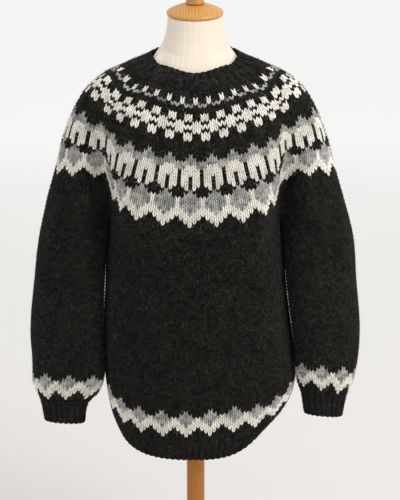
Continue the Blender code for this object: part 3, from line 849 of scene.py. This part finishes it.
def wool_material():
    shader = Shader("lightly_spun_wool")
    white, grey, shade = yarn_parts(shader)
    thread = shader.node("ShaderNodeAttribute", {"attribute_name": "thread"}, out="Vector")
    across, climb, purl = shader.split(thread)
    groove, turn_over = to_groove(across * 2.0), to_groove(climb)
    # Painted shade: the colour is darkened in the grooves between the legs, where each row turns over
    # into the next, in the eye of each stitch and along the sunk purl columns.
    painted_hollow_shade = groove.power(4.0) * (0.5 + turn_over * turn_over * 0.5)
    painted_eye_shade = (1.0 - to_groove(across)).power(6.0) * turn_over.power(3.0)
    lit = (1.0 - painted_hollow_shade * 0.85 - turn_over.power(5.0) * 0.22 - painted_eye_shade * 0.5 - purl * 0.35).kept_to_one()
    place = shader.places()
    hairs, crossed = (
        shader.noise(shader.stretched(thread, (9.0, 1.6, 1.0), (0.0, 0.0, slant)), 1.6, 3.0, 0.7)
        for slant in (0.5, -0.5)
    )
    strands = shader.noise(place, 420.0, 4.0, 0.75)
    patches = shader.noise(place, 26.0, 3.0, 0.6)
    pale_hairs = ((hairs.maths("MAXIMUM", crossed) - 0.55) * 5.0).kept_to_one()
    soft = ((strands * 0.6 + patches * 0.2 + shade * 0.2 - 0.5) * 3.2 + 0.5).kept_to_one()
    charcoal = shader.mixed(soft, (0.0008, 0.0008, 0.0007), (0.0185, 0.0175, 0.0146))
    charcoal = shader.mixed(pale_hairs * 0.40, charcoal, (0.068, 0.064, 0.054))
    white_wool = shader.mixed(soft, (0.60, 0.56, 0.48), (0.98, 0.95, 0.88))
    grey_wool = shader.mixed(soft, (0.12, 0.116, 0.106), (0.56, 0.55, 0.525))
    grey_wool = shader.mixed(pale_hairs * 0.45, grey_wool, (0.66, 0.65, 0.62))
    colour = shader.mixed(white, shader.mixed(grey, charcoal, grey_wool), white_wool)
    # Painted shade: the wool's colour is mixed towards black where lit is low, in those grooves, turns,
    # eyes and purl columns.
    colour = shader.mixed(lit, (0.0, 0.0, 0.0), colour)
    leg = 1.0 - groove.power(2.5) - turn_over.power(3.0) * 0.45
    normal = shader.bumped(leg + strands * 0.5 + hairs * 0.4, 0.0009, 0.8)
    shader.principled.inputs["Specular IOR Level"].default_value = 0.04
    return shader.finish(
        base_color=colour, roughness=0.95, normal=normal, sheen_weight=0.03, sheen_roughness=0.6
    )


WOOL = wool_material()

# %% [markdown]
# ## The yoke
#
# It is one piece from the join up: four plain rows, thirty-two repeats of the diamonds and the
# arches, four plain rows, thirty-four pairs of checks, two plain rows and thirty-six specks. The
# real knitter decreases in the plain rows, so a repeat has six stitches, then four, then three.
# Three bands of the grid are bridged at the decreases, and the inside closes them into one shell.

# %% Where the yoke's bands lie, and how many stitches they have
JOIN_STITCHES, CHECK_STITCHES, NECK_EDGE_STITCHES = 32 * 6, 34 * 4, 36 * 3
TIP_UP, ARCH_UP, ARCH_TOP, CHECK_UP, CHECK_TOP = 0.07, 0.295, 0.503, 0.582, 0.733
SPECK_UP, SPECK_TOP, YOKE_TOP = 0.768, 0.815, 0.86
FIRST_DECREASE, SECOND_DECREASE = 0.5425, 0.751
DECREASE_STEP = 0.0015
YOKE_INNER_ROWS = 15


def steps(start, *stops):
    """Row edges, from pairs of where a stretch of rows ends and how many rows it has."""
    edges = [start]
    for end, rows in stops:
        edges += list(np.linspace(edges[-1], end, rows + 1)[1:])
    return np.array(edges)


# %% Knit the yoke
def make_yoke():
    lower = steps(0.0, (TIP_UP, 4), (ARCH_UP, 10), (ARCH_TOP, 10), (FIRST_DECREASE, 2))
    middle = steps(FIRST_DECREASE + DECREASE_STEP, (CHECK_UP, 2), (CHECK_TOP, 7), (SECOND_DECREASE, 1))
    upper = steps(SECOND_DECREASE + DECREASE_STEP, (SPECK_UP, 1), (SPECK_TOP, 3), (YOKE_TOP, 2))
    bands = (
        (JOIN_STITCHES, lower, ((4, -5, DIAMONDS), (14, -5, ARCHES)), 0.33, (0.0, 0.5)),
        (CHECK_STITCHES, middle, ((2, -3, CHECKS),), 0.4, (0.5, 0.7)),
        (NECK_EDGE_STITCHES, upper, ((1, 0, SPECKS),), -0.35, (0.7, 1.0)),
    )
    bm = new_knit()
    loops, surface = [], []
    for stitches, ups, placed, turn, tall in bands:
        points, outs = lattice(
            yoke_from_front, stitches, ups, stocking_height, turn, YOKE_CREASES, yoke_drift
        )
        surface.append((points, outs, placed))
        if ups[-1] == YOKE_TOP:
            inner_ups = np.linspace(YOKE_TOP, 0, YOKE_INNER_ROWS)
            points = np.concatenate([points, inside(yoke_from_front, stitches, inner_ups, turn)])
        loops.append(add_band(bm, points, stitches, len(ups) - 1, placed, tall))
    for above, below in ((1, 0), (2, 1)):
        bmesh.ops.bridge_loops(bm, edges=open_edges(loops[above][0]) + open_edges(loops[below][1]))
    bmesh.ops.bridge_loops(bm, edges=open_edges(loops[0][0]) + open_edges(loops[2][1]))
    to_piece("yoke", bm, WOOL, surface)


make_yoke()

# %% [markdown]
# ## Tubes and ribs
#
# Body, sleeves, hem, cuffs and neckband are single bands, so one function makes them all: the
# stitches up the outside, then the inside down again, closed into one shell.

# %% One band as a closed tube
def make_tube(
    node, ring_at, stitches, ups, placed=(), height=stocking_height, inner_rows=10, **cloth
):
    bm = new_knit()
    points, outs = lattice(ring_at, stitches, ups, height, **cloth)
    inner = inside(ring_at, stitches, np.linspace(ups[-1], ups[0], inner_rows), cloth.get("turn", 0.0))
    ribbed = height is not stocking_height
    shell = np.concatenate([points, inner])
    add_band(bm, shell, stitches, len(ups) - 1, placed, (0.0, 1.0), True, ribbed)
    to_piece(node, bm, WOOL, [(points, outs, placed)])


# %% Knit the body and its hem
BODY_STITCHES, HEM_STITCHES = 144, 168
FREE_BELOW = (0.35, 0.0)
ABOVE_RIB = RIB_TOP + 0.0007
make_tube(
    "body", body_at, BODY_STITCHES,
    steps(ABOVE_RIB, (0.127, 2), (0.243, 8), (1.0, 54)), ((2, 109, LOW_DIAMONDS),),
    turn=0.4, creases=BODY_CREASES, drift=hem_drift,
)
make_tube(
    "hem_rib", body_at, HEM_STITCHES, steps(0.0, (RIB_TOP, 8)),
    height=rib_height, inner_rows=3, notch=FREE_BELOW,
)

# %% Knit the sleeves with their cuffs
SLEEVE_STITCHES, CUFF_STITCHES = 48, 40
make_tube(
    "sleeve_left", left_sleeve_at, SLEEVE_STITCHES,
    steps(ABOVE_RIB, (0.118, 1), (0.236, 8), (1.0, 53)), ((1, 28, LOW_DIAMONDS),),
    creases=SLEEVE_CREASES, drift=sleeve_drift,
)
make_tube(
    "sleeve_right", right_sleeve_at, SLEEVE_STITCHES,
    steps(ABOVE_RIB, (0.129, 2), (0.258, 8), (1.0, 51)), ((2, 1, LOW_DIAMONDS),),
    creases=SLEEVE_CREASES, drift=sleeve_drift,
)
for node, ring_at in (("cuff_left", left_sleeve_at), ("cuff_right", right_sleeve_at)):
    make_tube(
        node, ring_at, CUFF_STITCHES, steps(0.0, (RIB_TOP, 8)),
        height=rib_height, inner_rows=3, notch=FREE_BELOW,
    )

# %% Knit the neckband
NECK_STITCHES = 90
FREE_ABOVE = (0.0, 0.2)
ABOVE_YOKE = YOKE_TOP + 0.001
make_tube(
    "neckband", yoke_from_front, NECK_STITCHES, steps(ABOVE_YOKE, (1.0, 8)),
    height=neck_rib_height, inner_rows=5, notch=FREE_ABOVE,
)

# %% [markdown]
# ## Loose hairs
#
# The wool is hairy: fibres stand off the surface all over and soften its outline. One thin
# three-sided hair is modelled, an array repeats it, and each copy is then bent into place at a
# random spot on the stitches. A hair takes the yarn of the stitch that it grows from, and many on
# the charcoal are pale, most of all among the white bands of the yoke.

# %% One hair, and random spots for many
HAIR_SIDES = 3
HAIR_RADIUS = 0.00011
HAIR_LENGTH = 0.013
PALE_SHARE, PALE_SHARE_OF_YOKE = 0.38, 0.65
PALE_HAIR = (0.0, 0.35)
HAIR_RANDOM = np.random.RandomState(23)


def one_hair():
    """A straight hair of length 1, as a cone cut across its middle."""
    bm = bmesh.new()
    bmesh.ops.create_cone(bm, cap_ends=True, segments=HAIR_SIDES, radius1=1.0, radius2=0.0, depth=1.0)
    bmesh.ops.translate(bm, verts=bm.verts, vec=(0.0, 0.0, 0.5))
    geometry = [*bm.verts, *bm.edges, *bm.faces]
    bmesh.ops.bisect_plane(bm, geom=geometry, plane_co=(0.0, 0.0, 0.5), plane_no=(0.0, 0.0, 1.0))
    return to_mesh("hair", bm)


def hair_roots(surface, count):
    """Random spots on a knitted piece, with the directions out and round there, and the yarns."""
    roots, outs, rounds, yarns = [], [], [], []
    total = sum(points.shape[0] * points.shape[1] for points, _, _ in surface)
    for points, out, placed in surface:
        high, wide = points.shape[:2]
        share = int(count * high * wide / total)
        level = HAIR_RANDOM.randint(1, high - 1, share)
        column = HAIR_RANDOM.randint(0, wide, share)
        roots.append(points[level, column])
        outs.append(out[level, column])
        rounds.append(unit(points[level, (column + 1) % wide] - points[level, column]))
        for r, c in zip(level, column):
            yarns.append(charted(placed, int(r / LEVELS_A_ROW), int(c / COLUMNS_A_STITCH)))
    return *(np.concatenate(kind) for kind in (roots, outs, rounds)), yarns


def many_hairs(name, number):
    """An array of the one hair, applied, with its points' places hair by hair."""
    hair = linked(name, one_hair())
    array = hair.modifiers.new("hairs", "ARRAY")
    array.use_relative_offset = False
    array.count = number
    evaluated = hair.evaluated_get(bpy.context.evaluated_depsgraph_get())
    mesh = bpy.data.meshes.new_from_object(evaluated)
    hair.modifiers.remove(array)
    hair.data = mesh
    places = np.empty(len(mesh.vertices) * 3, np.float32)
    mesh.vertices.foreach_get("co", places)
    return hair, places.reshape(number, -1, 3).astype(float)


# %% The hairs' own finish
def hair_material():
    shader = Shader("loose_wool_hair")
    white, grey, shade = yarn_parts(shader)
    dark = shader.mixed(shade, (0.006, 0.0055, 0.0045), (0.034, 0.031, 0.026))
    grey_hair = shader.mixed(shade, (0.14, 0.135, 0.125), (0.44, 0.43, 0.41))
    white_hair = shader.mixed(shade, (0.66, 0.62, 0.54), (0.92, 0.89, 0.82))
    colour = shader.mixed(white, shader.mixed(grey, dark, grey_hair), white_hair)
    return shader.finish(base_color=colour, roughness=0.8)


HAIR = hair_material()


# %% Bend each hair into place, and dye it
def grow_hairs(node, count, pale_share):
    """Hairs over the outside of a knitted piece, as one mesh."""
    name = f"{node}_hairs"
    root, out, side, yarns = hair_roots(surfaces[node], count)
    number = len(root)
    side = unit(side - out * np.sum(side * out, axis=1, keepdims=True))
    rising = np.cross(out, side)
    turn = HAIR_RANDOM.uniform(0, 2 * pi, number)[:, None]
    flat = side * np.cos(turn) + rising * np.sin(turn)
    lift = HAIR_RANDOM.uniform(0.12, 0.75, number)[:, None]
    ahead = unit(flat + out * lift)
    length = HAIR_RANDOM.uniform(0.45, 1.0, number)[:, None] ** 1.5 * HAIR_LENGTH
    curl = np.cross(out, flat) * HAIR_RANDOM.uniform(-0.35, 0.35, number)[:, None] - out * lift * 0.35
    hair, places = many_hairs(name, number)
    mesh = hair.data
    t = places[:, :, 2:3]
    across = unit(np.cross(ahead, out + 0.01))
    over = np.cross(ahead, across)
    spine = root[:, None] + length[:, None] * (ahead[:, None] * t + curl[:, None] * t * t)
    thick = HAIR_RADIUS * (across[:, None] * places[:, :, 0:1] + over[:, None] * places[:, :, 1:2])
    mesh.vertices.foreach_set("co", (spine + thick).astype(np.float32).ravel())
    colours = mesh.color_attributes.new("yarn", "FLOAT_COLOR", "POINT")
    values = np.zeros((number, places.shape[1], 4), np.float32)
    pale = HAIR_RANDOM.uniform(0, 1, number) < pale_share
    for i, yarn in enumerate(yarns):
        white, grey = PALE_HAIR if yarn == "D" and pale[i] else YARNS[yarn]
        values[i] = (white, grey, HAIR_RANDOM.uniform(), 1.0)
    colours.data.foreach_set("color", values.ravel())
    mesh.materials.append(HAIR)
    mesh.update()
    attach(hair, "root")
    print(f"{name}: {number} hairs, {len(mesh.polygons)} faces")


HAIRS = {
    "yoke": 18000, "body": 15000, "sleeve_left": 6500, "sleeve_right": 6500,
    "hem_rib": 3000, "neckband": 3000, "cuff_left": 900, "cuff_right": 900,
}
for node, count in HAIRS.items():
    grow_hairs(node, count, PALE_SHARE_OF_YOKE if node == "yoke" else PALE_SHARE)

# %% [markdown]
# ## The cloth's cut
#
# For each knitted piece the size it would have laid flat is worked out: its length round by its
# length up, both read off the rings themselves. The yoke rests on the form's shoulders, and all
# else hangs from the yoke.

# %% Work out every knitted piece's flat size
def flat_size(surface):
    """Width and length of a piece laid flat, and its area, from its own points."""
    widths, length, area = [], 0.0, 0.0
    for points, _, _ in surface:
        on_rows = points[::LEVELS_A_ROW, ::COLUMNS_A_STITCH]
        around = np.linalg.norm(np.roll(on_rows, -1, axis=1) - on_rows, axis=2).sum(axis=1)
        climb = np.linalg.norm(np.diff(on_rows, axis=0), axis=2).mean(axis=1)
        widths += list(around)
        length += climb.sum()
        area += (climb * (around[1:] + around[:-1]) / 2).sum()
    return max(widths), length, area


RESTS_ON = {
    "yoke": "form_torso", "body": "yoke", "sleeve_left": "yoke", "sleeve_right": "yoke",
    "hem_rib": "body", "cuff_left": "sleeve_left", "cuff_right": "sleeve_right", "neckband": "yoke",
}
for node, support in RESTS_ON.items():
    width, length, area = flat_size(surfaces[node])

# %% [markdown]
# ## The form's jersey
#
# The form is covered with a fine cream jersey, stretched smooth. At this distance its knit is only
# a faint grain of upright ribs, with a slight unevenness where it is pulled round the neck.

# %% Cover the form
WALES_PER_RADIAN, COURSES_PER_METRE = 300.0, 5200.0


def refinish(node, material):
    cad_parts[node].data.materials[0] = material
    print(f"{node}: {material.name}")


def jersey_material():
    shader = Shader("cream_jersey")
    place = shader.places()
    x, y, z = shader.split(place)
    turn = y.maths("ARCTAN2", x)
    wales = (turn * WALES_PER_RADIAN).sine()
    courses = (z * COURSES_PER_METRE).sine()
    pulls = shader.noise(shader.stretched(place, (60.0, 60.0, 8.0)), 1.0, 3.0)
    mottle = shader.noise(place, 9.0, 3.0)
    shade = (mottle * 0.6 + pulls * 0.3 + wales * 0.05 + courses * 0.05).kept_to_one()
    colour = shader.mixed(shade, (0.70, 0.61, 0.50), (0.82, 0.735, 0.63))
    normal = shader.bumped(wales * courses * 0.3 + pulls * 0.5, 0.0004, 0.5)
    return shader.finish(base_color=colour, roughness=0.88, normal=normal, sheen_weight=0.15)


refinish("form_torso", jersey_material())

# %% [markdown]
# ## Turned wood
#
# Cap, knob, pole and base are pale hardwood under a satin varnish, orange with age. The grain runs
# up the pole and the knob, so the rings are stretched along Z there, and across the cap and base,
# which are turned from boards.

# %% Finish the wood
def wood_material(name, grain, pale, deep):
    shader = Shader(name)
    place = shader.stretched(shader.places(), grain)
    bend = shader.noise(place, 2.0, 2.0)
    bands = shader.node(
        "ShaderNodeTexWave", {"wave_type": "BANDS", "bands_direction": "X"},
        {"Vector": place, "Scale": 5.0, "Distortion": 5.0, "Detail": 3.0, "Detail Scale": 1.4},
        out="Fac",
    )
    pores = shader.noise(shader.stretched(place, (26.0, 26.0, 1.6)), 3.0, 3.0, 0.6)
    figure = (bands * 0.55 + bend * 0.3 + pores * 0.15).kept_to_one()
    colour = shader.mixed(figure, deep, pale)
    normal = shader.bumped(pores, 0.0002, 0.25)
    rough = 0.36 + pores * 0.16
    shader.principled.inputs["Specular IOR Level"].default_value = 0.25
    return shader.finish(
        base_color=colour, roughness=rough, normal=normal, coat_weight=0.12, coat_roughness=0.25
    )


UPRIGHT, FLATWISE = (14.0, 14.0, 0.9), (12.0, 1.2, 12.0)
for node, name, grain, pale, deep in (
    ("pole", "upright_wood", UPRIGHT, (0.46, 0.180, 0.030), (0.29, 0.092, 0.011)),
    ("neck_cap", "cap_wood", FLATWISE, (0.64, 0.34, 0.105), (0.46, 0.205, 0.045)),
    ("cap_knob", "knob_wood", UPRIGHT, (0.56, 0.275, 0.080), (0.36, 0.145, 0.030)),
    ("base", "base_wood", FLATWISE, (0.46, 0.180, 0.030), (0.29, 0.092, 0.011)),
):
    refinish(node, wood_material(name, grain, pale, deep))
